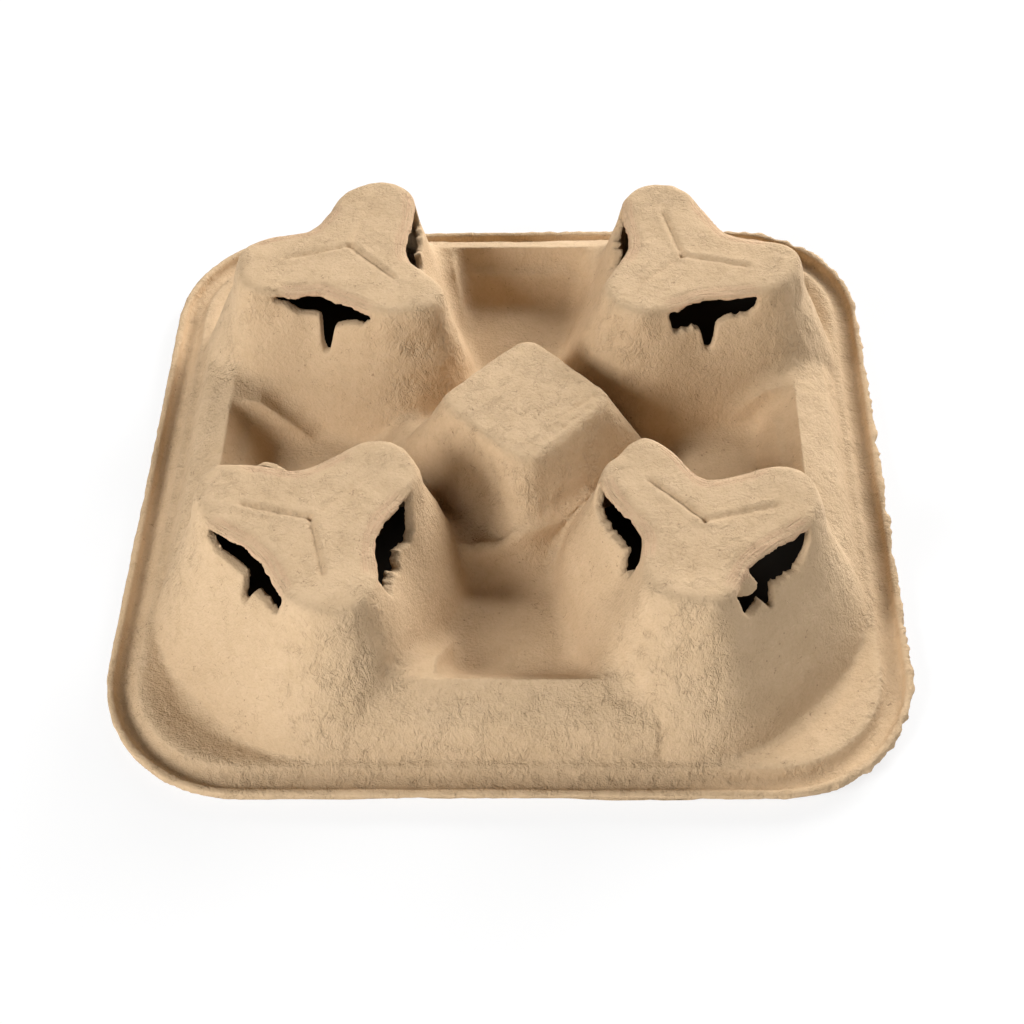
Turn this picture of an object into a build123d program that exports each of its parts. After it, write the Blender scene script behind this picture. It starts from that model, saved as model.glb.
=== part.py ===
# Carrier for four cups, moulded in one piece from paper pulp.
# It lies upside down on its rim, as the photograph shows it: the undersides of the four cup wells
# stand up as hollow three-lobed domes, each torn open by three slots just under its flat top.
# A hollow block stands in the middle, and a recess lies between each two neighbouring wells.
# Frame: the origin is on the table under the middle of the tray, +Z is up and -Y is the near side.
# Sizes are in millimetres. A distance called "out" is measured from the middle of the tray.
# The outer skin and the inner skin are each a solid, built by the same functions from the same
# sizes, and the tray is the one less the other.
import os
from math import cos, hypot, pi, radians, sin, sqrt
from build123d import *

# Whole tray
side = 210.0                  # outer edge to outer edge
rim_corner_radius = 38.5
wall = 2.2

# Rim, named from the outer edge inwards
lip_width = 1.8
lip_height = 5.2
lip_slope_run = 0.7           # how far the lip's two sloping faces lean
groove_width = 3.4
bead_slope_run = 2.2
bead_top_width = 2.0
bead_height = 4.9
web_width = 9.2               # sloping corner web, from the bead down to the table

# Cup wells, seen from below as domes
well_offset = 48.7            # dome centre from the middle plane, along X and along Y
dome_height = 44.8
base_inner_lobe_radius = 46.0     # towards the middle of the tray
base_inner_waist_radius = 36.0    # towards the recesses
base_outer_lobe_radius = 49.0     # towards the two near edges
base_corner_waist_radius = 44.0   # towards the tray's corner
waist_breadth = 1.2               # the higher, the longer a waist is and the narrower a lobe
dome_edge_rounding = 3.0
outline_points = 36

# Drying warped each well its own way. "top" has the lobes and waists of the flat top, as directions
# in degrees and radii: 0 looks at the middle of the tray, and they run counter-clockwise.
# "slots" has the torn slots at 60, 180 and 300 degrees: the two ends along the waist and the notch.
# "creases" is where the three creases of the top meet, towards the middle of the tray and sideways.
wells = {
    "near_left": {
        "top": ((3, 31.0), (58, 17.0), (107, 31.3), (178, 16.2), (246, 30.5), (300, 19.0)),
        "slots": ((-14.0, 14.0, 0.0), (-16.5, 12.0, 0.0), (-12.5, 14.0, -1.0)),
        "creases": (0.0, 0.0),
    },
    "near_right": {
        "top": ((-18, 28.4), (6, 27.0), (60, 16.0), (107, 25.3), (143, 25.5), (178, 17.8),
                (246, 30.2), (304, 15.0)),
        "slots": ((-17.0, 7.0, 2.0), (-8.0, 16.0, 0.5), (-14.0, 14.0, 0.0)),
        "creases": (-1.8, -0.4),
    },
    "far_right": {
        "top": ((4, 27.0), (60, 18.3), (131, 31.8), (175, 16.0), (243, 30.6), (302, 15.2)),
        "slots": ((-10.0, 15.5, 1.5), (-14.0, 14.0, 0.0), (-18.0, 5.0, -4.0)),
        "creases": (0.0, 0.0),
    },
    "far_left": {
        "top": ((12, 31.0), (54, 18.0), (115, 33.8), (173, 16.0), (216, 28.0), (246, 28.4), (300, 15.6)),
        "slots": ((-5.0, 20.0, 3.0), (-14.0, 14.0, 0.0), (-11.5, 14.5, 1.5)),
        "creases": (-2.2, 4.9),
    },
}

# Middle block, a blunt square hump turned by 45 degrees
block_height = 36.0
block_top_width = 34.6
block_corner_radius = 6.0
block_side_lean = 0.40        # run for each millimetre of height
block_shift_x = 4.5
block_shift_y = 1.0
block_edge_rounding = 3.0

# Raised ground around the block
saddle_height = 12.0
saddle_radius = 32.0
saddle_lean = 1.6

# Edge aprons with their crest, and the recesses behind them
apron_half_length = 38.0
crease_out = 90.5
crease_height = 13.7
brow_out = 87.7
brow_height = 16.0
crest_out = 80.5
crest_height = 20.2
deck_out = 72.0
deck_height = 18.0
deck_foot_out = 57.0
recess_floor_height = 5.2
recess_floor_out = 69.0
recess_floor_half_width = 17.0
recess_side_lean = 0.28
ledge_out = 75.5
ledge_height = 14.0
ledge_width = 1.5
floor_half_width = 26.0
floor_reach = 78.0
recess_near_shift = 3.5       # the near recess lies off the middle of its edge
recess_far_shift = 2.0
recess_left_shift = 4.0
recess_right_shift = 0.0

# Torn slots, under the flat top of each dome
slot_drop = 3.0               # from the flat top down to the slot's upper edge
slot_depth = 4.4
slot_start = 8.0              # from the middle of the dome
notch_depth = 9.6
notch_half_width = 2.6
tear_step = 1.2               # how ragged the torn edge is

# Pressed creases on each flat top
crease_arm_length = 19.0
crease_arm_width = 1.2
crease_arm_depth = 0.6

below = 10.0                  # how far the rising shapes are carried under the table


def square_ring(out, z):
    # Rounded square outline with its sides this far out, concentric with the tray's edge
    radius = rim_corner_radius - (side / 2 - out)
    return Plane.XY.offset(z) * RectangleRounded(2 * out, 2 * out, radius)


def tapered_square(out_low, z_low, out_high, z_high):
    return loft([square_ring(out_low, z_low), square_ring(out_high, z_high)], ruled=True)


def base_radius(angle):
    # Smooth radius that takes the four base radii at 0, 60, 120 and 180 degrees
    inner_lobe, inner_waist = base_inner_lobe_radius, base_inner_waist_radius
    outer_lobe, corner_waist = base_outer_lobe_radius, base_corner_waist_radius
    second = (inner_lobe + corner_waist - inner_waist - outer_lobe) / 3
    mean = (inner_lobe + corner_waist) / 2 - second
    odd = (inner_lobe - corner_waist) / 2
    first = (inner_waist - outer_lobe + 2 * odd) / 3
    third = odd - first
    return mean + first * cos(angle) + second * cos(2 * angle) + third * cos(3 * angle)


def top_radius(top, angle):
    # Swells smoothly from each waist to the lobes beside it
    turns = [(radians(direction), radius) for direction, radius in top]
    turns.append((turns[0][0] + 2 * pi, turns[0][1]))
    angle = (angle - turns[0][0]) % (2 * pi) + turns[0][0]
    for (start, first), (end, second) in zip(turns, turns[1:]):
        if angle <= end:
            break
    part = (angle - start) / (end - start)
    waist, lobe = first, second
    if first > second:
        part = 1 - part
        waist, lobe = second, first
    return waist + (lobe - waist) * (0.5 - 0.5 * cos(pi * part)) ** waist_breadth


def lobed_outline(top, z, inset):
    # Outline of a dome at height z, moved inwards by the inset measured square to the sloping wall
    points = []
    slants = []
    steps = [step / outline_points for step in range(outline_points + 1)]
    for step in steps[:-1]:
        angle = 2 * pi * step
        low = base_radius(angle)
        high = top_radius(top, angle)
        radius = low + (high - low) * z / dome_height
        points.append(Vector(radius * cos(angle), radius * sin(angle), z))
        slants.append(hypot(low - high, dome_height) / dome_height)
    inner = []
    for number, point in enumerate(points):
        along = (points[(number + 1) % outline_points] - points[number - 1]).normalized()
        inner.append(point + Vector(-along.Y, along.X) * inset * slants[number])
    return Face(Wire([Edge.make_spline(inner, periodic=True, parameters=steps)]))


def rounded_top(shape, radius):
    # The inner skin's rounding is the outer one's less the wall, so it can be a sharp edge
    if radius <= 0:
        return shape
    return fillet(shape.edges().group_by(Axis.Z)[-1], radius)


def dome(top, inset):
    # Rises from under the table to the flat top
    outlines = [lobed_outline(top, z, inset) for z in (-wall, dome_height - inset)]
    return rounded_top(loft(outlines, ruled=True), dome_edge_rounding - inset)


def block(inset):
    top = block_height - inset
    slant = sqrt(1 + block_side_lean ** 2)
    outlines = []
    for z in (-wall, top):
        width = block_top_width + 2 * block_side_lean * (block_height - z) - 2 * inset * slant
        outlines.append(Plane.XY.offset(z) * RectangleRounded(width, width, block_corner_radius))
    hump = rounded_top(loft(outlines, ruled=True), block_edge_rounding - inset)
    return Pos(block_shift_x, block_shift_y) * Rot(0, 0, 45) * hump


def saddle(inset):
    top = saddle_height - inset
    slant = sqrt(1 + saddle_lean ** 2)
    top_radius = saddle_radius + saddle_lean * inset - inset * slant
    base_radius = top_radius + saddle_lean * (top - recess_floor_height + wall)
    height = top - recess_floor_height + wall
    return Pos(0, 0, top - height / 2) * Cone(base_radius, top_radius, height)


def floors(inset):
    thickness = recess_floor_height - inset + wall
    cross = Box(2 * floor_half_width, 2 * floor_reach, thickness)
    cross += Box(2 * floor_reach, 2 * floor_half_width, thickness)
    return Pos(0, 0, thickness / 2 - wall) * cross


def section_prism(points, half_length, grow):
    # Section drawn in distance out and height, moved by grow, and drawn out along the near edge
    section = Polyline(*points, close=True)
    face = make_face(section)
    if grow:
        face = offset(face, grow, kind=Kind.INTERSECTION)
    upright = Plane(origin=(0, 0, 0), x_dir=(0, -1, 0), z_dir=(-1, 0, 0))
    return extrude(upright * face, half_length, both=True)


def recess(shift, grow):
    # Space between two wells: floor, stepped outer wall and sides that lean apart
    rise = crest_height - ledge_height
    lean = (crest_out - ledge_out - ledge_width) / rise
    top = crest_height + wall + grow
    points = [
        (deck_foot_out - 2 * below, recess_floor_height),
        (recess_floor_out, recess_floor_height),
        (ledge_out, ledge_height),
        (ledge_out + ledge_width, ledge_height),
        (crest_out + lean * (top - crest_height), top),
        (deck_foot_out - 2 * below, top),
    ]
    hollow = section_prism(points, side / 4, grow)
    low_z = recess_floor_height - 2 * below
    high_z = top + below
    slant = sqrt(1 + recess_side_lean ** 2)
    half_width = recess_floor_half_width + grow * slant
    low = half_width - recess_side_lean * (recess_floor_height - low_z)
    high = half_width + recess_side_lean * (high_z - recess_floor_height)
    wedge = make_face(Polyline((-low, low_z), (low, low_z), (high, high_z), (-high, high_z), close=True))
    return hollow & Pos(shift, 0, 0) * extrude(Plane.XZ * wedge, side)


def apron(shift, inset):
    bead_inner_out = side / 2 - lip_width - groove_width - lip_slope_run - bead_slope_run - bead_top_width
    points = [
        (bead_inner_out, -below),
        (bead_inner_out, bead_height),
        (crease_out, crease_height),
        (brow_out, brow_height),
        (crest_out, crest_height),
        (deck_out, deck_height),
        (deck_foot_out, recess_floor_height),
        (deck_foot_out, -below),
    ]
    ridge = section_prism(points, apron_half_length, -inset)
    return ridge - recess(shift, inset)


def aprons(inset):
    shifts = (recess_near_shift, -recess_right_shift, -recess_far_shift, recess_left_shift)
    return [Rot(0, 0, 90 * turn) * apron(shift, inset) for turn, shift in enumerate(shifts)]


def at_well(name):
    # Place in a corner, turned so that its own +X looks at the middle of the tray
    return Rot(0, 0, 90 * list(wells).index(name)) * Pos(-well_offset, -well_offset) * Rot(0, 0, 45)


def rising_shapes(inset):
    domes = [at_well(name) * dome(well["top"], inset) for name, well in wells.items()]
    return [block(inset), saddle(inset), floors(inset)] + domes + aprons(inset)


def rim():
    # Lip, groove, bead and corner web, with the space under the lip and under the bead
    lip_out = side / 2
    groove_outer = lip_out - lip_width
    groove_inner = groove_outer - lip_slope_run - groove_width
    bead_outer = groove_inner - bead_slope_run
    bead_inner = bead_outer - bead_top_width
    web_inner = bead_inner - web_width
    under_lip = lip_height - wall - lip_slope_run
    plate = tapered_square(lip_out, 0, lip_out, lip_height)
    plate -= tapered_square(groove_outer - lip_slope_run, wall, groove_outer, lip_height)
    bead = tapered_square(groove_inner, wall, bead_outer, bead_height)
    plate += bead - tapered_square(web_inner, wall, bead_inner, bead_height)
    slope = wall * 0.4
    hollow = tapered_square(groove_inner - slope, 0, bead_outer - slope, bead_height - wall)
    hollow -= tapered_square(web_inner, 0, bead_inner + slope, bead_height - wall)
    plate -= hollow
    foot = tapered_square(groove_outer - lip_slope_run, 0, groove_outer + slope, under_lip)
    return plate - (tapered_square(lip_out + wall, 0, lip_out + wall, under_lip) - foot)


def slot_outline(start, end, notch):
    # Torn opening drawn with its length along X and height along Y, 0 at its upper edge
    deep = -slot_depth
    tip = -notch_depth
    points = [
        (start, -tear_step),
        (start + tear_step, 0),
        ((start + end) / 2, tear_step / 2),
        (end - tear_step, 0),
        (end, -tear_step),
        (end - 2 * tear_step, deep + 2 * tear_step),
        (end - 4 * tear_step, deep + tear_step),
        (notch + 2 * notch_half_width, deep),
        (notch + notch_half_width, deep - tear_step),
        (notch + 0.6 * notch_half_width, tip + tear_step),
        (notch, tip),
        (notch - 0.6 * notch_half_width, tip + 2 * tear_step),
        (notch - notch_half_width, deep),
        (start + 3 * tear_step, deep + tear_step / 2),
        (start + tear_step, deep + 2 * tear_step),
    ]
    return make_face(Polyline(*points, close=True))


def slot(angle, start, end, notch):
    # Cuts the wall at one waist, from inside the hollow outwards
    plane = Plane(origin=(0, 0, dome_height - slot_drop), x_dir=(-sin(angle), cos(angle), 0),
                  z_dir=(cos(angle), sin(angle), 0))
    cut = extrude(plane * slot_outline(start, end, notch), base_corner_waist_radius)
    return cut - Cylinder(slot_start, 3 * dome_height)


def top_creases(middle):
    # Three arms from the middle of the flat top towards its lobes
    arms = []
    for turn in range(3):
        arm = Pos(crease_arm_length / 2, 0, dome_height) * Box(
            crease_arm_length, crease_arm_width, 2 * crease_arm_depth)
        arms.append(Pos(*middle) * Rot(0, 0, 120 * turn) * arm)
    return arms


def carrier():
    above_table = Pos(0, 0, side / 2) * Box(2 * side, 2 * side, side)
    skin = rim()
    for shape in rising_shapes(0):
        skin += shape & above_table
    for shape in rising_shapes(wall):
        skin -= shape
    for name, well in wells.items():
        for turn, torn in enumerate(well["slots"]):
            skin -= at_well(name) * slot(radians(60 + 120 * turn), *torn)
        for arm in top_creases(well["creases"]):
            skin -= at_well(name) * arm
    return skin


os.makedirs("parts", exist_ok=True)
tray = carrier()
solids = tray.solids()
print("solids", len(solids), "volume", round(tray.volume), "box", tray.bounding_box())
export_step(solids[0] if len(solids) == 1 else tray, "parts/pulp_tray.step")
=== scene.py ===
# %% [markdown]
# # A moulded-pulp carrier for four cups
# Wet paper pulp is sucked onto a mesh mould, lifted off and dried. What comes out is one thin skin
# with soft bends, a slightly rough face and torn fibres wherever it was cut or ripped. The tray lies
# upside down, so the undersides of its four wells stand up as three-lobed domes.
# This lesson starts from the plain solid of the tray and gives it what drying, stacking and tearing
# gave the real one: ragged slots, softened bends, creases, lumps, fibres and the colour of old paper.

# %% Kit, frame and the plain tray
import math

import bpy
import numpy as np
from mathutils import Matrix, Vector


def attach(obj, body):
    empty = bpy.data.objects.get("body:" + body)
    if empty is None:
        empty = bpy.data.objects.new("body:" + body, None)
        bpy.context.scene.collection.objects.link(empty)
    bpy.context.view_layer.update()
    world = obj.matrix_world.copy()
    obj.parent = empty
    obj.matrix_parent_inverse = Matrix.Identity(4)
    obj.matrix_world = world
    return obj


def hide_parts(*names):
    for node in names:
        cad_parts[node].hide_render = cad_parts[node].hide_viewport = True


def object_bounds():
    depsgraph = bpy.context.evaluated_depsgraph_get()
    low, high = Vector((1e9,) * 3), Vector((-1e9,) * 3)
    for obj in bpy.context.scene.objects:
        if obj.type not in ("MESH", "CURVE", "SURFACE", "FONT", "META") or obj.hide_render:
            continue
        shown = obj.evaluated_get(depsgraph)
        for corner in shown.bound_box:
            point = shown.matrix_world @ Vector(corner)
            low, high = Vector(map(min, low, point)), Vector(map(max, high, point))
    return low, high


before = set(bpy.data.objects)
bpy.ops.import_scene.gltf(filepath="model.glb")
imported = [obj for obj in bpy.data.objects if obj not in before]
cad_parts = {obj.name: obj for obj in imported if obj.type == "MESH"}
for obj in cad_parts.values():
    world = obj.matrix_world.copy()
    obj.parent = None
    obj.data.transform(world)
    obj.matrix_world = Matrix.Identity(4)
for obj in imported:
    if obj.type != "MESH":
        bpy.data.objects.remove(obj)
cad_low, cad_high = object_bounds()
MM = 0.001
plain_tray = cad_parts["pulp_tray"]
print("plain tray, mm:", [round(v / MM, 1) for v in cad_high - cad_low])

# %% [markdown]
# ## Places on the tray
# Everything below is placed from a few sizes of the tray: how far a well's middle lies from the
# tray's middle, how high the flat tops are, and which way each well's three lobes point. They are
# the sizes of the solid, so that the finish always sits where the solid has its features.

# %% Sizes in millimetres
top_height = (cad_high.z - cad_low.z) / MM
half_side = (cad_high.x - cad_low.x) / MM / 2
well_offset = 48.7
rim_corner_radius = 38.5
block_middle = np.array([4.5, 1.0])
crest_out = 80.5
wells = {
    "near_left": (-1, -1),
    "near_right": (1, -1),
    "far_right": (1, 1),
    "far_left": (-1, 1),
}


def well_middle(name):
    """Middle of a well on the plan, in millimetres."""
    sx, sy = wells[name]
    return np.array([sx * well_offset, sy * well_offset])


def inward_angle(name):
    """Direction from a well's middle to the middle of the tray, in radians."""
    sx, sy = wells[name]
    return math.atan2(-sy, -sx)


def waist_axes(name, turn):
    """A well's middle, the way out through one of its waists, and the way along that waist."""
    angle = inward_angle(name) + math.radians(turn)
    out = np.array([math.cos(angle), math.sin(angle)])
    return well_middle(name), out, np.array([-out[1], out[0]])


def pick(piece):
    """Selects one object alone and makes it the active one."""
    if bpy.context.object and bpy.context.object.mode != "OBJECT":
        bpy.ops.object.mode_set(mode="OBJECT")
    bpy.ops.object.select_all(action="DESELECT")
    piece.hide_set(False)
    piece.select_set(True)
    bpy.context.view_layer.objects.active = piece


def triangles(piece):
    """How many triangles a mesh comes to."""
    return sum(len(p.vertices) - 2 for p in piece.data.polygons)


# %% [markdown]
# ## A copy to work on
# The solid itself stays as it is. Its copy comes as loose triangles, so the first step is to merge
# the corners that lie on each other, which gives a closed skin that cutters can cut. It also comes
# with shading directions of its own, which have to go: they would no longer fit the reshaped skin.

# %% Copy of the tray
tray = bpy.data.objects.new("pulp_tray_skin", plain_tray.data.copy())
bpy.context.scene.collection.objects.link(tray)
pick(tray)
bpy.ops.object.mode_set(mode="EDIT")
bpy.ops.mesh.select_all(action="SELECT")
bpy.ops.mesh.remove_doubles(threshold=0.000002)
bpy.ops.object.mode_set(mode="OBJECT")
bpy.ops.mesh.customdata_custom_splitnormals_clear()
print("copy:", len(tray.data.vertices), "corners,", triangles(tray), "triangles")

# %% [markdown]
# ## Torn slots
# The slots were pierced when the tray came off its mould, and the piercing tore them: the upper edge
# follows the flat top in a smooth arc, while the lower edge is all teeth, with a deep notch in it.
# Each cutter is a flat outline with its own teeth, extruded through the wall, and a Boolean takes it
# away from the skin. Fixed seeds keep every tear the same each time the script runs.
# Places along a waist are in millimetres from its middle, and heights are above the table.

# %% Cutters for the torn slots
# For each waist, the slot's two ends, how high its lower edge lies before and after the notch, the
# notch's place, half width and tip, and over what length the slot narrows towards either end
slots = {
    ("near_left", 180): dict(ends=(-17.0, 13.6), lower=(38.0, 36.4),
                             notch=(0.0, 2.3, 32.0), narrow=(6.0, 1.2)),
    ("near_left", -60): dict(ends=(-12.8, 13.6), lower=(33.6, 33.6),
                             notch=(-0.7, 1.9, 30.8), narrow=(1.6, 4.0)),
    ("near_left", 60): dict(ends=(-13.0, 14.0), lower=(38.0, 40.6),
                            notch=(-2.0, 2.2, 33.0), narrow=(3.0, 3.0)),
    ("near_right", 60): dict(ends=(-18.4, 8.4), lower=(36.0, 33.6),
                             notch=(2.0, 2.3, 31.0), narrow=(1.6, 1.2)),
    ("near_right", 180): dict(ends=(-10.6, 17.4), lower=(34.0, 35.0),
                              notch=(0.3, 1.9, 31.0), narrow=(2.0, 5.0)),
    ("near_right", -60): dict(ends=(-14.0, 14.0), lower=(38.0, 38.0),
                              notch=(0.0, 2.6, 32.0), narrow=(3.0, 3.0)),
    ("far_right", 60): dict(ends=(-10.2, 15.6), lower=(36.0, 38.0),
                            notch=(1.4, 2.4, 29.3), narrow=(1.5, 1.0)),
    ("far_right", 180): dict(ends=(-14.0, 14.0), lower=(38.0, 37.5),
                             notch=(0.0, 2.6, 31.5), narrow=(3.0, 3.0)),
    ("far_right", -60): dict(ends=(-19.0, 6.4), lower=(34.6, 35.6),
                             notch=(-4.0, 2.4, 31.0), narrow=(3.0, 2.0)),
    ("far_left", -60): dict(ends=(-12.0, 15.0), lower=(39.4, 38.8),
                            notch=(1.2, 3.0, 28.6), narrow=(4.0, 2.0)),
    ("far_left", 60): dict(ends=(-6.0, 22.0), lower=(35.4, 34.8),
                           notch=(3.0, 2.6, 32.0), narrow=(2.0, 2.5)),
    ("far_left", 180): dict(ends=(-14.0, 14.0), lower=(37.5, 38.0),
                            notch=(0.0, 2.6, 32.0), narrow=(3.0, 3.0)),
}
slit = [(10.0, 41.4), (16.8, 41.6), (17.4, 42.8), (10.0, 43.4)]
hook = [(-15.4, 42.0), (-14.6, 43.4), (-11.0, 43.2), (-10.6, 40.6), (-13.0, 40.8)]
pinhole = [(8.2, 37.2), (9.6, 36.6), (9.9, 38.2), (8.9, 38.7)]
small_tears = [("near_left", -60, slit), ("far_left", -60, hook), ("near_right", 60, pinhole)]
slot_top, slot_end_height = 43.2, 1.6
upper_bow = 0.9
upper_steps, lower_steps = 18, 34
upper_ragged, lower_ragged = 0.2, 0.45
narrowing = 0.7
cut_start, cut_reach = 9.0, 24.0


def torn_outline(ends, lower, notch, narrow, seed):
    """Outline of a slot as (along, height) pairs: a smooth upper edge, and teeth and a notch below."""
    rng = np.random.default_rng(seed)
    start, end = ends
    place, half, tip = notch
    outline = []
    for part in np.linspace(0, 1, upper_steps):
        bow = upper_bow * (2 * part - 1) ** 2
        outline.append((start + (end - start) * part, slot_top - bow + rng.normal(0, upper_ragged)))
    for part in np.linspace(1, 0, lower_steps)[1:-1]:
        along = start + (end - start) * part
        share = min((along - start) / narrow[0], (end - along) / narrow[1], 1.0) ** narrowing
        floor_height = lower[0] if along < place else lower[1]
        height = slot_top - slot_end_height - (slot_top - slot_end_height - floor_height) * share
        inside = abs(along - place) / half
        if inside < 1:
            height = min(height, tip + (floor_height - tip) * inside ** 3)
        outline.append((along, height + rng.normal(0, lower_ragged)))
    return outline


def prism_from(front, behind, name):
    """A closed prism between two outlines of as many corners, each a list of points in millimetres."""
    count = len(front)
    corners = [tuple(v * MM for v in point) for point in [*front, *behind]]
    faces = [list(range(count)), list(range(2 * count - 1, count - 1, -1))]
    faces += [[k, k + count, (k + 1) % count + count, (k + 1) % count] for k in range(count)]
    mesh = bpy.data.meshes.new(name)
    mesh.from_pydata(corners, [], faces)
    piece = bpy.data.objects.new(name, mesh)
    bpy.context.scene.collection.objects.link(piece)
    pick(piece)
    bpy.ops.object.mode_set(mode="EDIT")
    bpy.ops.mesh.select_all(action="SELECT")
    bpy.ops.mesh.quads_convert_to_tris()
    bpy.ops.mesh.normals_make_consistent(inside=False)
    bpy.ops.object.mode_set(mode="OBJECT")
    return piece


def at_waist(name, turn, outline, out_of):
    """Points of an outline at one waist, each as far out as out_of says for its height."""
    middle, out, along = waist_axes(name, turn)
    return [(*(middle + along * a + out * out_of(height)), height) for a, height in outline]


def torn_cutter(name, turn, outline):
    """A prism that passes through the wall at one waist of a well."""
    front = at_waist(name, turn, outline, lambda height: cut_start)
    behind = at_waist(name, turn, outline, lambda height: cut_start + cut_reach)
    return prism_from(front, behind, "torn_cutter")


def take_away(cutters):
    """Joins the cutters and takes them away from the tray."""
    pick(cutters[0])
    for cutter in cutters:
        cutter.select_set(True)
    bpy.ops.object.join()
    tool = bpy.context.object
    pick(tray)
    cut = tray.modifiers.new("torn slots", "BOOLEAN")
    cut.operation = "DIFFERENCE"
    cut.object = tool
    cut.solver = "EXACT"
    bpy.ops.object.modifier_apply(modifier=cut.name)
    bpy.data.objects.remove(tool)


outlines = {}
for seed, (place, tear) in enumerate(slots.items()):
    outlines[place] = torn_outline(seed=seed, **tear)
take_away([torn_cutter(*place, outline) for place, outline in outlines.items()])
take_away([torn_cutter(*tear) for tear in small_tears])
print("slots and small tears:", len(slots), "and", len(small_tears))

# %% [markdown]
# ## The torn flap
# At the near right corner a triangle of wall stayed on when the slot tore, and hangs over its left end.
# It is a small plate as thick as the wall, which the next step melts into the skin.

# %% Flap
flap_outline = [
    (-11.0, 42.8), (-3.6, 43.6), (-1.9, 39.4), (-2.6, 38.3), (-5.0, 38.0), (-8.0, 39.4), (-11.0, 41.6)
]
flap_top_out, flap_lean, flap_thickness = 19.4, 0.58, 1.9


def flap_face(top_out):
    """One face of the flap, which leans out as much as the wall does."""

    def leaning(height):
        return top_out + (slot_top - height) * flap_lean

    return at_waist("near_right", 180, flap_outline, leaning)


flap = prism_from(flap_face(flap_top_out), flap_face(flap_top_out - flap_thickness), "flap")
pick(tray)
flap.select_set(True)
bpy.ops.object.join()
print("with the flap:", triangles(tray), "triangles")

# %% [markdown]
# ## An even skin to shape
# Long thin triangles can't be bent softly. A voxel remesh covers the same skin, inside and out, with
# small even squares. A voxel is well under half as thick as the wall, so that no wall is lost.

# %% Remesh
voxel = 0.8
tray.data.remesh_voxel_size = voxel * MM
tray.data.remesh_voxel_adaptivity = 0.0
pick(tray)
bpy.ops.object.voxel_remesh()
print("even skin:", len(tray.data.vertices), "corners,", triangles(tray), "triangles")

# %% [markdown]
# ## Helpers for shaping
# The brushes below do what a sculptor's brushes do, on all the corners of the skin at once: smooth,
# fill a valley, grab and drag a region, press a line, and raise lumps. The corners are held as one
# array in millimetres, and neighbours are found along the edges of the mesh.

# %% The skin as an array, and its brushes
def read_skin(piece):
    """Corner positions in millimetres and the two ends of every edge."""
    mesh = piece.data
    points = np.empty(len(mesh.vertices) * 3)
    mesh.vertices.foreach_get("co", points)
    ends = np.empty(len(mesh.edges) * 2, dtype=np.int32)
    mesh.edges.foreach_get("vertices", ends)
    return points.reshape(-1, 3) / MM, ends.reshape(-1, 2)


def write_skin(piece, points):
    """Moves the corners of the skin to these positions."""
    piece.data.vertices.foreach_set("co", (points * MM).ravel())
    piece.data.update()


def outward(piece):
    """Unit normal at each corner."""
    normals = np.empty(len(piece.data.vertices) * 3, dtype=np.float32)
    piece.data.vertex_normals.foreach_get("vector", normals)
    return normals.reshape(-1, 3).astype(float)


def pull_to_neighbours(points, ends):
    """For each corner, the step that would take it to the middle of its neighbours."""
    count = len(points)
    a, b = ends[:, 0], ends[:, 1]
    many = np.bincount(a, minlength=count) + np.bincount(b, minlength=count)
    step = np.empty_like(points)
    for axis in range(3):
        total = np.bincount(a, weights=points[b, axis], minlength=count)
        total += np.bincount(b, weights=points[a, axis], minlength=count)
        step[:, axis] = total / many - points[:, axis]
    return step


def smooth(points, ends, rounds, amount):
    """Draws every corner towards the middle of its neighbours, round after round."""
    for _ in range(rounds):
        points = points + pull_to_neighbours(points, ends) * np.reshape(amount, (-1, 1))
    return points


def fill_valleys(piece, points, ends, rounds, amount):
    """Smooths only where the skin bends inwards, which leaves the raised edges as they are."""
    for turn in range(rounds):
        if turn % 8 == 0:
            write_skin(piece, points)
            normals = outward(piece)
        step = pull_to_neighbours(points, ends)
        hollow = np.einsum("ij,ij->i", step, normals) > 0
        points = points + step * (hollow * amount)[:, None]
    return points


def ease(value, low, high):
    """0 below low, 1 above high, and a soft step between."""
    t = np.clip((value - low) / (high - low), 0, 1)
    return t * t * (3 - 2 * t)


def lattice_noise(points, size, seed):
    """Soft lumps from -1 to 1 with about this size in millimetres."""
    rng = np.random.default_rng(seed)
    table = rng.uniform(-1, 1, (64, 64, 64))
    place = points / size
    cell = np.floor(place).astype(int)
    part = place - cell
    part = part * part * (3 - 2 * part)
    total = 0
    for corner in range(8):
        shift = np.array([corner & 1, corner >> 1 & 1, corner >> 2 & 1])
        weight = np.prod(np.where(shift, part, 1 - part), axis=1)
        i, j, k = ((cell + shift) % 64).T
        total = total + weight * table[i, j, k]
    return total


def square_out(points):
    """How far out each corner lies from the tray's middle, measured to the rounded square of the rim."""
    core = half_side - rim_corner_radius
    beyond = np.maximum(np.abs(points[:, :2]) - core, 0)
    inside = np.minimum(np.max(np.abs(points[:, :2]), axis=1) - core, 0)
    return core + np.hypot(beyond[:, 0], beyond[:, 1]) + inside


# %% [markdown]
# ## Softened bends
# Pulp can't hold a sharp inside corner, so every valley between a dome, the block and the floor is a
# wide curve, while the raised edges stay crisper. The rim is thin and finely stepped, so it only gets
# a light touch.

# %% Soften the valleys
slot_margin = 2.5
wall_zone = (8, 34)


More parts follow.
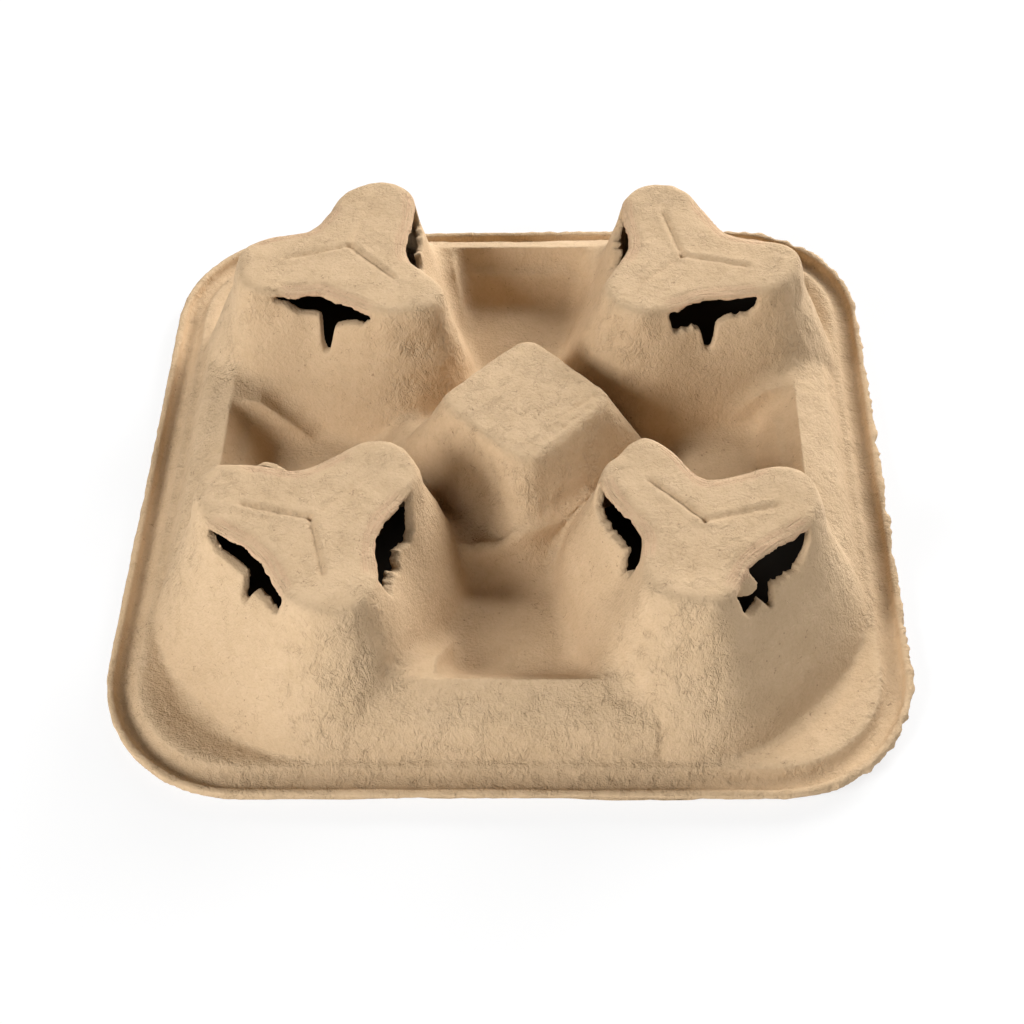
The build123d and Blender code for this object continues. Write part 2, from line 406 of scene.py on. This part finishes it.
def near_slots(points):
    """1 on the torn edges of the slots, so that softening leaves them crisp, and 0 away from them."""
    near = np.zeros(len(points))
    for place, tear in slots.items():
        middle, out, along = waist_axes(*place)
        start, end = tear["ends"]
        a = (points[:, :2] - middle) @ along
        reach = (points[:, :2] - middle) @ out
        share = ease(a, start - slot_margin, start) * (1 - ease(a, end, end + slot_margin))
        share *= ease(points[:, 2], tear["notch"][2] - slot_margin, tear["notch"][2])
        share *= (reach > wall_zone[0]) * (reach < wall_zone[1])
        near = np.maximum(near, share * (1 - ease(points[:, 2], 43.6, 44.4)))
    return near


points, ends = read_skin(tray)
out = square_out(points)
inner_field = 1 - ease(out, 84.0, 90.0)
fineness = (0.9 / voxel) ** 2
soft = 1 - 0.8 * near_slots(points)
points = smooth(points, ends, 2, (0.3 + 0.1 * inner_field) * soft)
before_filling = points
points = fill_valleys(tray, points, ends, round(20 * fineness), (0.06 + 0.40 * inner_field) * soft)

# Wide soft joints, where the flanks of the wells run into the ends of the crests and the pockets
joints = np.zeros(len(points))
for turn in range(4):
    for sideways, far_out, width in ((24.0, crest_out - 2, 9.0), (-24.0, crest_out - 2, 9.0),
                                     (20.0, 62.0, 6.0), (-20.0, 62.0, 6.0)):
        spot = Matrix.Rotation(math.radians(90 * turn), 2) @ Vector((sideways, -far_out))
        away = np.hypot(points[:, 0] - spot.x, points[:, 1] - spot.y)
        joints = np.maximum(joints, np.exp(-(away / width) ** 2))
points = fill_valleys(tray, points, ends, round(36 * fineness), 0.5 * joints)

filled = ease(np.linalg.norm(points - before_filling, axis=1), 0.15, 0.6)
points = smooth(points, ends, round(8 * fineness), 0.5 * filled)
write_skin(tray, points)
print("valleys softened over", round(float(inner_field.mean()) * 100), "% of the skin")

# %% [markdown]
# ## Pulled waists and a pushed edge
# A grab brush drags a region sideways, most at the top and nothing at the table. It draws some waists
# in a little further than the solid has them, and pushes the torn edge behind the near left top out,
# where the real one stands away from the wall.

# %% Drag a few spots
def grab(points, spot, radius, move, low, high):
    """Drags what lies near a spot and, by height, from nothing at low to all at high."""
    away = np.hypot(points[:, 0] - spot[0], points[:, 1] - spot[1])
    share = (1 - ease(away, radius * 0.3, radius)) * ease(points[:, 2], low, high)
    moved = points.copy()
    moved[:, :2] += np.outer(share, move)
    return moved


# Well and direction in degrees: how far out the spot lies, and how far it moves out
drags = {
    ("near_right", 86): (21.0, -2.0),
    ("near_right", -62): (16.0, -1.6),
    ("near_left", -60): (18.0, -1.4),
    ("far_left", -86): (22.0, -1.6),
    ("far_left", 20): (31.0, 1.5),
}
drag_radius = 15.0
for (name, turn), (reach, pull) in drags.items():
    middle, direction, along = waist_axes(name, turn)
    points = grab(points, middle + direction * reach, drag_radius, direction * pull, 4.0, 40.0)

edge_out, edge_along_waist, edge_radius, edge_push = 19.0, 6.0, 9.0, 5.8
middle, direction, along = waist_axes("near_left", 60)
edge_spot = middle + direction * edge_out + along * edge_along_waist
torn_edge = points[:, 2] < 41.8
pushed = grab(points, edge_spot, edge_radius, direction * edge_push, 30.0, 40.0)
pushed[:, 2] += 0.1 * np.hypot(*(pushed - points)[:, :2].T)
points[torn_edge] = pushed[torn_edge]
write_skin(tray, points)
print("spots dragged:", len(drags) + 1)

# %% [markdown]
# ## Pits, a dam and full shoulders
# Around the block the ground isn't even: a pit lies between the block and each near lobe, another in
# front of it, and a low dam parts them. The shoulders of the lobes are fuller than the solid's, and
# stand up at their ends. Each dent or swelling moves both faces of the skin, so the wall stays as thick.

# %% Dents and swellings
# Place on the plan, half sizes, and how far up
dents = {
    "pit at the near left lobe": ((-17.5, -13.0), (6.5, 8.5), -4.5),
    "pit at the far left lobe": ((-19.0, 19.0), (8.0, 6.0), -3.0),
    "pit at the far right lobe": ((27.0, 23.0), (7.0, 6.0), -3.5),
    "pit before the block": ((-3.0, -39.5), (12.0, 5.0), -3.8),
    "dam before the block": ((-3.0, -32.0), (10.0, 1.8), 1.6),
    "pit right of the block": ((45.0, 4.0), (5.0, 9.0), -1.6),
    "shoulder left of the block": ((-28.5, 10.0), (8.0, 8.0), 4.0),
}
for (x, y), (wide, deep), lift in dents.values():
    spread = ((points[:, 0] - x) / wide) ** 2 + ((points[:, 1] - y) / deep) ** 2
    points[:, 2] += lift * np.exp(-spread) * (1 - ease(points[:, 2], 16.0, 26.0))

shoulder_out, shoulder_up = 1.1, 0.9
for name in wells:
    from_middle = points[:, :2] - well_middle(name)
    away = np.hypot(*from_middle.T)
    angle = np.arctan2(from_middle[:, 1], from_middle[:, 0]) - inward_angle(name)
    shoulder = ease(np.cos(3 * angle), -0.1, 0.6) * ease(away, 17.0, 27.0) * (away < 46)
    shoulder *= ease(points[:, 2], 33.0, 42.0)
    points[:, :2] += from_middle / np.maximum(away, 1.0)[:, None] * (shoulder_out * shoulder)[:, None]
    points[:, 2] += shoulder_up * shoulder
write_skin(tray, points)
print("dents and swellings:", len(dents))

# %% [markdown]
# ## Pressed creases, cracks and a seam
# Each flat top carries a three-armed crease where the mould pinched it. A press brush pushes the skin
# down along a line and lifts a low bank beside it. Arms that are faint on the real tray are shallower.
# The same brush cracks the block's front right edge, and turned upside down it raises a seam at its foot.

# %% Press the creases
def press_line(points, normals, start, end, width, depth, zone):
    """Presses a soft groove along a straight line on the plan."""
    start, end = np.array(start, float), np.array(end, float)
    along = end - start
    t = np.clip(((points[:, :2] - start) @ along) / (along @ along), 0, 1)
    nearest = start + t[:, None] * along
    across = points[:, :2] - nearest
    away = np.hypot(*across.T)
    side = np.where(across @ np.array([-along[1], along[0]]) > 0, 1.0, 0.25)
    groove = -np.exp(-(away / width) ** 2)
    bank = 0.6 * side * np.exp(-((away - 2.3 * width) / (1.2 * width)) ** 2)
    return points + normals * ((groove + bank) * depth * zone)[:, None]


# Where the three arms meet, inwards and sideways from the well's middle, and how strong each arm is
creases = {
    "near_left": ((0.0, 0.0), (0.25, 1.0, 1.0)),
    "near_right": ((-1.8, -0.4), (1.0, 0.3, 0.8)),
    "far_right": ((0.0, 0.0), (0.4, 0.8, 1.0)),
    "far_left": ((-2.2, 4.9), (1.0, 0.5, 0.9)),
}
crease_length, crease_width, crease_depth = 19.0, 0.7, 0.6
normals = outward(tray)
upper_face = ease(points[:, 2], top_height - 4.5, top_height - 1.0) * ease(normals[:, 2], 0.2, 0.7)
for name, (shift, strengths) in creases.items():
    middle, inwards, sideways = waist_axes(name, 0)
    middle = middle + inwards * shift[0] + sideways * shift[1]
    for turn, strength in zip((0, 120, -120), strengths):
        tip = middle + crease_length * waist_axes(name, turn)[1]
        points = press_line(points, normals, middle, tip, crease_width, crease_depth * strength, upper_face)

# Two cracks side by side on the block's front right edge
outer_crack = [(5.5, -16.0), (13.0, -9.5), (19.0, -1.5), (23.5, 2.0)]
inner_crack = [(9.0, -15.2), (15.0, -9.4), (22.0, -2.6)]
crack_width, crack_depth = 0.6, 0.5
on_block = ease(points[:, 2], 27.0, 31.0) * ease(normals[:, 2], 0.2, 0.5)
for crack in (outer_crack, inner_crack):
    for start, end in zip(crack, crack[1:]):
        points = press_line(points, normals, start, end, crack_width, crack_depth, on_block)

# The seam around the block's foot, which takes the highest of its stretches where they meet
seam = [(-12.0, -32.0), (-4.0, -32.6), (3.0, -31.6), (9.5, -28.8), (15.5, -24.6), (21.0, -18.0)]
seam_width, seam_height = 1.6, 1.2
at_foot = ease(normals[:, 2], 0.1, 0.4) * (1 - ease(points[:, 2], 17.0, 22.0))
risen = np.zeros(len(points))
for start, end in zip(seam, seam[1:]):
    raised = press_line(points, normals, start, end, seam_width, -seam_height, at_foot)
    risen = np.maximum(risen, np.einsum("ij,ij->i", raised - points, normals))
points = points + normals * risen[:, None]
write_skin(tray, points)
print("creases pressed on", len(creases), "tops")

# %% [markdown]
# ## Lips over the slots
# Between each flat top and the slot under it the pulp was drawn down as a thin lip, in layers that
# run along the slot. Its edge is read off the skin: how far out the wall stands just under the top, for
# each place along the slot. Distance from that edge then places two grooves, and later the fibres.

# %% Groove the lips
lip_width = 3.2
# How far in from the slot's edge each groove lies, its half width and its depth
lip_grooves = ((lip_width - 0.4, 0.6, 0.6), (1.3, 0.5, 0.4))


def edge_along(points, normals, place):
    """How far out the wall stands at the slot's upper edge, at each millimetre along the slot."""
    middle, out, along = waist_axes(*place)
    start, end = slots[place]["ends"]
    from_middle = points[:, :2] - middle
    level = (np.abs(points[:, 2] - slot_top - 0.4) < 0.6) & (normals[:, :2] @ out > 0.15)
    level &= (from_middle @ out > wall_zone[0]) & (from_middle @ out < wall_zone[1])
    steps = np.arange(start - 2, end + 3, 1.0)
    stands = []
    for step in steps:
        here = level & (np.abs(from_middle @ along - step) < 1.2)
        stands.append(np.median((from_middle @ out)[here]) if here.any() else np.nan)
    stands = np.array(stands)
    known = ~np.isnan(stands)
    return steps, np.interp(steps, steps[known], stands[known])


def lip_places(points, normals, edges):
    """Distance out from the slot's upper edge, place along it, and share of the lip, for each corner."""
    lip = np.zeros((len(points), 3))
    for place, (steps, stands) in edges.items():
        middle, out, along = waist_axes(*place)
        start, end = slots[place]["ends"]
        from_middle = points[:, :2] - middle
        a = from_middle @ along
        beyond = from_middle @ out - np.interp(a, steps, stands)
        share = ease(a, start - 2, start + 2) * (1 - ease(a, end - 2, end + 2))
        share *= ease(beyond, -lip_width - 1.0, -lip_width + 0.6) * (1 - ease(beyond, 1.5, 2.5))
        share *= ease(points[:, 2], 41.6, 42.6) * (from_middle @ out > 6)
        here = share > lip[:, 2]
        lip[here] = np.stack([beyond, a, share], axis=1)[here]
    return lip


normals = outward(tray)
edges = {place: edge_along(points, normals, place) for place in slots}
lip = lip_places(points, normals, edges)
grooves = 0
for inwards, width, depth in lip_grooves:
    grooves = grooves + depth * np.exp(-((lip[:, 0] + inwards) / width) ** 2)
points = points - normals * (grooves * lip[:, 2])[:, None]
write_skin(tray, points)
print("lips:", len(edges), "with", int((lip[:, 2] > 0.5).sum()), "corners")

# %% [markdown]
# ## Lumps, wrinkles and a ragged rim
# Pulp dries unevenly: the skin has low swellings a centimetre wide, and over the shoulders of the lobes,
# the aprons and the block it shrinks into short wrinkles, while the waists stay smooth. The outer lip is
# torn, most of all on the right, and along the front its layers have come apart in a thin split.

# %% Raise lumps and wrinkles
def folded(points, size, seed):
    """Ridged noise from 0 to 1: thin winding ridges where the soft noise crosses zero."""
    bend = np.stack([lattice_noise(points, size * 2.5, seed + k) for k in range(3)], axis=1)
    return np.clip(1 - np.abs(lattice_noise(points + bend * size * 0.8, size, seed + 5)) * 2.6, 0, 1)


def roughness_of(points):
    """Share of wrinkles, from 0 on the smooth waists to 1 on the lobes, the aprons and the block."""
    rough = 0.3 + 0.45 * ease(square_out(points), 76.0, 84.0)
    for name in wells:
        from_middle = points[:, :2] - well_middle(name)
        away = np.hypot(*from_middle.T)
        angle = np.arctan2(from_middle[:, 1], from_middle[:, 0]) - inward_angle(name)
        lobe = ease(np.cos(3 * angle), -0.2, 0.7) * ease(away, 14.0, 27.0)
        on_top = 0.7 * ease(points[:, 2], 41.0, 43.0)
        near = 1 - ease(away, 44.0, 52.0)
        rough = rough * (1 - near) + (0.12 + 0.88 * np.maximum(lobe, on_top)) * near
    on_block = 1 - ease(np.hypot(*(points[:, :2] - block_middle).T), 26.0, 32.0)
    return np.maximum(rough, on_block * ease(points[:, 2], 14.0, 24.0))


normals = outward(tray)
rough = roughness_of(points)
relief = 0.28 * lattice_noise(points, 15.0, 50) + 0.16 * lattice_noise(points, 6.5, 51)
drawn_down = points * np.array([1.0, 1.0, 0.55])
relief += (folded(drawn_down, 5.5, 60) - 0.4) * 0.13 * rough
relief += lattice_noise(drawn_down, 2.6, 70) * (0.04 + 0.14 * rough)
out = square_out(points)
relief *= 1 - 0.5 * ease(out, 88.0, 93.0)
points = points + normals * relief[:, None]

# The torn lip: most ragged on the right, and a little everywhere else
on_right = ease(points[:, 0] + 0.35 * points[:, 1], 20.0, 80.0)
tatters = lattice_noise(points, 2.6, 80) + 0.7 * lattice_noise(points, 1.4, 81)
tatters *= ease(out, 102.6, 104.4) * (0.2 + 0.75 * on_right)
points[:, :2] += (normals[:, :2].T * tatters * 0.8).T
points[:, 2] += tatters * 0.25

# The split between the layers of the front lip, which fades out towards the left and the right
split_depth, split_half_height = 1.1, 0.45
split_height = 2.7 + 0.5 * lattice_noise(points * np.array([1.0, 0.0, 0.0]), 14.0, 90)
split = np.exp(-((points[:, 2] - split_height) / split_half_height) ** 2)
split *= ease(-points[:, 1], 102.5, 104.0)
split *= ease(points[:, 0], -45.0, -10.0) * (1 - 0.6 * ease(points[:, 0], 55.0, 80.0))
points[:, 1] += split_depth * split
points[:, 2] = np.maximum(points[:, 2], 0.0)
write_skin(tray, points)
print("relief from", round(float(relief.min()), 2), "to", round(float(relief.max()), 2), "mm")

# %% [markdown]
# ## Fewer faces
# The underside hardly shows, so a Decimate modifier guided by a vertex group thins it first. A second
# one then thins the whole skin a little, and drops the faces that the relief needs least.

# %% Thin the skin
under = tray.vertex_groups.new(name="underside")
facing_down = np.nonzero(normals[:, 2] < -0.05)[0]
under.add(facing_down.tolist(), 1.0, "REPLACE")
underside_share = len(facing_down) / len(normals)
kept_below = 0.3
wanted = 192000


def thin_skin(ratio, group=""):
    """Keeps this share of the triangles, and thins only inside the vertex group if one is given."""
    thin = tray.modifiers.new("thin", "DECIMATE")
    thin.ratio = ratio
    thin.vertex_group = group
    bpy.ops.object.modifier_apply(modifier=thin.name)
    print("thinned to", triangles(tray), "triangles")


pick(tray)
thin_skin(1 - underside_share * (1 - kept_below), under.name)
thin_skin(min(1.0, wanted / triangles(tray)))
bpy.ops.object.shade_smooth()


def paint(piece, name, kind, values):
    """Stores one reading for each corner, for the material to use."""
    layer = piece.data.attributes.new(name, kind, "POINT")
    layer.data.foreach_set("vector" if kind == "FLOAT_VECTOR" else "value", np.ravel(values))


points, ends = read_skin(tray)
paint(tray, "rough", "FLOAT", roughness_of(points))
paint(tray, "lip", "FLOAT_VECTOR", lip_places(points, outward(tray), edges))
print("readings stored:", [layer.name for layer in tray.data.attributes if layer.name in ("rough", "lip")])

# %% [markdown]
# ## Shader maths as plain arithmetic
# A procedural finish is a sum of many small readings. The class below wraps one output of a node, so
# that adding or multiplying two readings writes the Math node for us.

# %% Small helper for node trees
class Reading:
    """One socket of a material's node tree, which can be added, multiplied and so on."""

    def __init__(self, tree, socket):
        self.tree = tree
        self.socket = socket

    def node(self, kind, settings=None, **inputs):
        """Adds a node with its settings first and then its inputs, and returns the node."""
        made = self.tree.nodes.new(kind)
        for key, value in (settings or {}).items():
            setattr(made, key, value)
        for key, value in inputs.items():
            socket = made.inputs[int(key[1:]) if key[1:].isdigit() else key.replace("_", " ")]
            if isinstance(value, Reading):
                self.tree.links.new(value.socket, socket)
            else:
                socket.default_value = value
        return made

    def of(self, made, output=0):
        """The reading that one output of a node gives."""
        return Reading(self.tree, made.outputs[output])

    def math(self, operation, *values):
        """A Math node on one or more readings or numbers."""
        inputs = {f"i{k}": value for k, value in enumerate(values)}
        return self.of(self.node("ShaderNodeMath", {"operation": operation}, **inputs))

    def __add__(self, other):
        return self.math("ADD", self, other)

    __radd__ = __add__

    def __sub__(self, other):
        return self.math("SUBTRACT", self, other)

    def __rsub__(self, other):
        return self.math("SUBTRACT", other, self)

    def __mul__(self, other):
        return self.math("MULTIPLY", self, other)

    __rmul__ = __mul__

    def __truediv__(self, other):
        return self.math("DIVIDE", self, other)

    def __rtruediv__(self, other):
        return self.math("DIVIDE", other, self)

    def __pow__(self, other):
        return self.math("POWER", self, other)

    def __abs__(self):
        return self.math("ABSOLUTE", self)

    def band(self, low, high):
        """0 below low, 1 above high, in between a soft ramp."""
        settings = {"interpolation_type": "SMOOTHSTEP"}
        made = self.node("ShaderNodeMapRange", settings, Value=self, From_Min=low, From_Max=high)
        return self.of(made)

    def noise(self, size, detail=2.0, distortion=0.0, roughness=0.5):
        """Noise over this position, with its size in millimetres."""
        made = self.node("ShaderNodeTexNoise", {}, Vector=self, Scale=1 / (size * MM), Detail=detail,
                         Distortion=distortion, Roughness=roughness)
        return self.of(made, "Fac")

    def cells(self, size):
        """How far this position is from the middle of its cell, with cells of this size in millimetres."""
        made = self.node("ShaderNodeTexVoronoi", {"feature": "F1"}, Vector=self, Scale=1 / (size * MM))
        return self.of(made, "Distance")

    def stretched(self, x, y, z):
        """This position with each axis stretched, for noise drawn out into fibres."""
        made = self.node("ShaderNodeMapping", {"vector_type": "POINT"}, Vector=self, Scale=(x, y, z))
        return self.of(made)

    def mixed(self, first, second):
        """Mixes two colours by this reading."""
        made = self.tree.nodes.new("ShaderNodeMix")
        made.data_type = "RGBA"
        self.tree.links.new(self.socket, made.inputs["Factor"])
        for name, value in (("A", first), ("B", second)):
            socket = next(s for s in made.inputs if s.name == name and s.type == "RGBA")
            if isinstance(value, Reading):
                self.tree.links.new(value.socket, socket)
            else:
                socket.default_value = (*value, 1)
        return Reading(self.tree, next(s for s in made.outputs if s.type == "RGBA"))


def new_finish(name):
    """A material with a Principled shader, and the position on the piece to start readings from."""
    material = bpy.data.materials.new(name)
    material.use_nodes = True
    tree = material.node_tree
    shader = next(n for n in tree.nodes if n.type == "BSDF_PRINCIPLED")
    place = tree.nodes.new("ShaderNodeTexCoord").outputs["Object"]
    return material, shader, Reading(tree, place)


# %% [markdown]
# ## The finish of old paper
# Recycled pulp is a warm grey-brown with paler and darker fibres pressed into it. Its colour hardly
# varies, apart from fine grain, a few dark hairs and specks, and torn edges with a reddish tinge. The
# bump is in real millimetres: felt-like grain everywhere, short strokes and wrinkles where the skin is
# rough, and layers that run along the lips over the slots.

# %% Moulded pulp
pulp, shader, place = new_finish("moulded pulp")


def stored(name, output):
    """One of the readings that were stored on the skin."""
    made = place.node("ShaderNodeAttribute", {"attribute_type": "GEOMETRY", "attribute_name": name})
    return place.of(made, output)


rough = stored("rough", "Fac")
lip_axes = place.node("ShaderNodeSeparateXYZ", {}, Vector=stored("lip", "Vector"))
beyond, along, on_lip = (place.of(lip_axes, axis) for axis in ("X", "Y", "Z"))
drawn_down = place.stretched(1.0, 1.0, 0.5)
grain = place.noise(0.75, 3.0, roughness=0.65) - 0.5
felt = place.noise(2.2, 3.0, roughness=0.6) - 0.5
mottle = place.noise(11.0, 2.0) - 0.5
patches = place.noise(6.0, 1.0).band(0.40, 0.60)
stroke = abs(drawn_down.noise(2.6, 1.0, distortion=1.4) - 0.5).band(0.05, 0.0)
leather = drawn_down.noise(2.6, 4.0, distortion=0.4, roughness=0.7) - 0.5
hair = abs(place.noise(4.0, 0.0, distortion=2.5) - 0.5).band(0.012, 0.0)
hair = hair * place.noise(3.0, 0.0).band(0.6, 0.66)
speck = place.cells(2.6).band(0.13, 0.07) * place.noise(6.0, 1.0).band(0.5, 0.6)
lip_plan = place.of(place.node("ShaderNodeCombineXYZ", {}, X=beyond, Y=along * 0.06))
layers = place.of(place.node("ShaderNodeTexNoise", {}, Vector=lip_plan, Scale=1.6, Detail=2.0)) - 0.5

deep_tan, pale_tan = (0.505, 0.353, 0.206), (0.625, 0.45, 0.283)
torn_tan, fibre_brown = (0.60, 0.37, 0.235), (0.20, 0.12, 0.06)
tone = (mottle * 0.5 + felt * 0.5 + grain * 0.7 + 0.5).band(0.0, 1.0)
colour = tone.mixed(deep_tan, pale_tan)
colour = (on_lip * (layers + 0.35).band(0.1, 0.6) * 0.55).mixed(colour, torn_tan)
colour = (hair * 0.6 + speck * 0.5 + stroke * patches * rough * 0.16).mixed(colour, fibre_brown)
bumps = grain * 0.30 + felt * 0.30 + (leather * 1.3 - stroke * 0.08) * (patches * 0.6 + 0.4) * rough
bumps = bumps - hair * 0.05 + layers * on_lip * 0.7
bump = place.node("ShaderNodeBump", {}, Height=bumps, Strength=1.0, Distance=1.0 * MM)
tree = pulp.node_tree
tree.links.new(colour.socket, shader.inputs["Base Color"])
tree.links.new(bump.outputs[0], shader.inputs["Normal"])
shader.inputs["Roughness"].default_value = 0.93
shader.inputs["Specular IOR Level"].default_value = 0.18
tray.data.materials.clear()
tray.data.materials.append(pulp)
print("finish:", len(tree.nodes), "nodes")

# %% [markdown]
# ## Floor
# The tray was photographed against white. To the camera alone the table glows, which makes it white
# but still keeps the tray's shadow. Under the tray the table is painted near-black as a painted shadow
# and doesn't glow, so that the slots show nothing but black. The painted shadow has the rim's own
# rounded outline and stops inside it.

# %% Floor
floor_side, floor_drop = 6.0, 0.2 * MM
glow_share = 0.8
# How far inside the rim's outline the painted shadow under the tray starts and where it is full, in
# millimetres
painted_shadow_from, painted_shadow_full = 3, 9

bpy.ops.object.select_all(action="DESELECT")
bpy.ops.mesh.primitive_plane_add(size=floor_side, location=(0, 0, -floor_drop))
floor = bpy.context.object
floor.name = "floor"
floor_finish, floor_shader, floor_place = new_finish("white table with painted shadow")
floor_shader.inputs["Roughness"].default_value = 0.9
glow = floor_place.node("ShaderNodeEmission", {}, Color=(1, 1, 1, 1), Strength=1.0)
seen = floor_place.of(floor_place.node("ShaderNodeLightPath"), "Is Camera Ray")
axes = floor_place.node("ShaderNodeSeparateXYZ", {}, Vector=floor_place)
core = (half_side - rim_corner_radius) * MM


def past_core(axis):
    """How far this position lies past the straight middle part of the rim, along one axis."""
    return floor_place.math("MAXIMUM", abs(floor_place.of(axes, axis)) - core, 0.0)


across, deep = past_core("X"), past_core("Y")
from_core = (across * across + deep * deep) ** 0.5
# Painted shadow: 1 under the tray, where the floor is painted near-black and its glow is off
painted_shadow_under_tray = from_core.band((rim_corner_radius - painted_shadow_from) * MM, (rim_corner_radius - painted_shadow_full) * MM)
both = floor_place.node("ShaderNodeMixShader", {}, i0=seen * glow_share * (1 - painted_shadow_under_tray))
# Floor colour: white, and near-black under the tray as a painted shadow
shade = painted_shadow_under_tray.mixed((0.93, 0.93, 0.93), (0.02, 0.015, 0.01))
links = floor_finish.node_tree.links
links.new(shade.socket, floor_shader.inputs["Base Color"])
links.new(floor_shader.outputs[0], both.inputs[1])
links.new(glow.outputs[0], both.inputs[2])
output = next(n for n in floor_finish.node_tree.nodes if n.type == "OUTPUT_MATERIAL")
links.new(both.outputs[0], output.inputs["Surface"])
floor.data.materials.append(floor_finish)

# %% [markdown]
# ## Light
# The main light is a soft lamp at the front left, with weaker ones at the front. Wide lamps behind the
# tray, most of all on the right, light the far sides of the wells. Little comes from elsewhere, so the
# pits between the wells and the block stay dark.

# %% Lamps
lamp_distance = 1.4
# Name, azimuth and elevation in degrees, side in metres and power in watts
lamps = (
    ("key", -54, 36, 0.45, 15.0),
    ("low front left", -34, 18, 0.9, 4.2),
    ("front", 0, 15, 0.6, 4.0),
    ("back right", 140, 27, 0.85, 26.0),
    ("low back", 150, 14, 0.6, 8.0),
    ("back", 180, 42, 0.6, 4.0),
)

scene = bpy.context.scene
world = bpy.data.worlds.new("studio")
scene.world = world
world.use_nodes = True
back = next(n for n in world.node_tree.nodes if n.type == "BACKGROUND")
back.inputs["Color"].default_value = (1, 1, 1, 1)
back.inputs["Strength"].default_value = 0.0


def softbox(name, azimuth, elevation, side, power):
    """A square lamp that looks at the tray. Azimuth 0 is the camera's side, 90 is the right."""
    a, e = math.radians(azimuth), math.radians(elevation)
    away = Vector((math.sin(a) * math.cos(e), -math.cos(a) * math.cos(e), math.sin(e)))
    data = bpy.data.lights.new(name, "AREA")
    data.shape = "SQUARE"
    data.size = side
    data.energy = power
    lamp = bpy.data.objects.new(name, data)
    lamp.location = away * lamp_distance
    lamp.rotation_mode = "QUATERNION"
    lamp.rotation_quaternion = (-away).to_track_quat("-Z", "Y")
    scene.collection.objects.link(lamp)


for lamp in lamps:
    softbox(*lamp)
print("lamps:", len(lamps))

# %% [markdown]
# ## Camera
# The camera looks down at the tray by fifty degrees and is turned and tilted a little. Its place and
# its lens come from lining the tray's outline, rim and flat tops up with the photograph.

# %% Camera at the photograph's angle
focal_px, image_px, sensor = 1747.2, 1024.0, 36.0
pitch, yaw, roll = math.radians(49.91), math.radians(-3.09), math.radians(-2.50)
aim = Vector((0.8, -23.8, 17.2)) * MM
distance = 474.4 * MM
forward = Vector((math.sin(yaw) * math.cos(pitch), math.cos(yaw) * math.cos(pitch), -math.sin(pitch)))
level_right = Vector((math.cos(yaw), -math.sin(yaw), 0))
level_up = level_right.cross(forward)
right = level_right * math.cos(roll) + level_up * math.sin(roll)
up = level_up * math.cos(roll) - level_right * math.sin(roll)
camera_data = bpy.data.cameras.new("camera")
camera_data.sensor_width = sensor
camera_data.lens = focal_px / image_px * sensor
camera_data.clip_start = 0.01
camera = bpy.data.objects.new("camera", camera_data)
turned = Matrix((right, up, -forward)).transposed().to_4x4()
camera.matrix_world = Matrix.Translation(aim - forward * distance) @ turned
scene.collection.objects.link(camera)
scene.camera = camera
scene.view_settings.view_transform = "Standard"
print("lens:", round(camera_data.lens, 2), "mm")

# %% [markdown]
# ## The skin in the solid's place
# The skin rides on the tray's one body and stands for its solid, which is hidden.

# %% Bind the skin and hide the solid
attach(tray, "root")
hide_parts("pulp_tray")
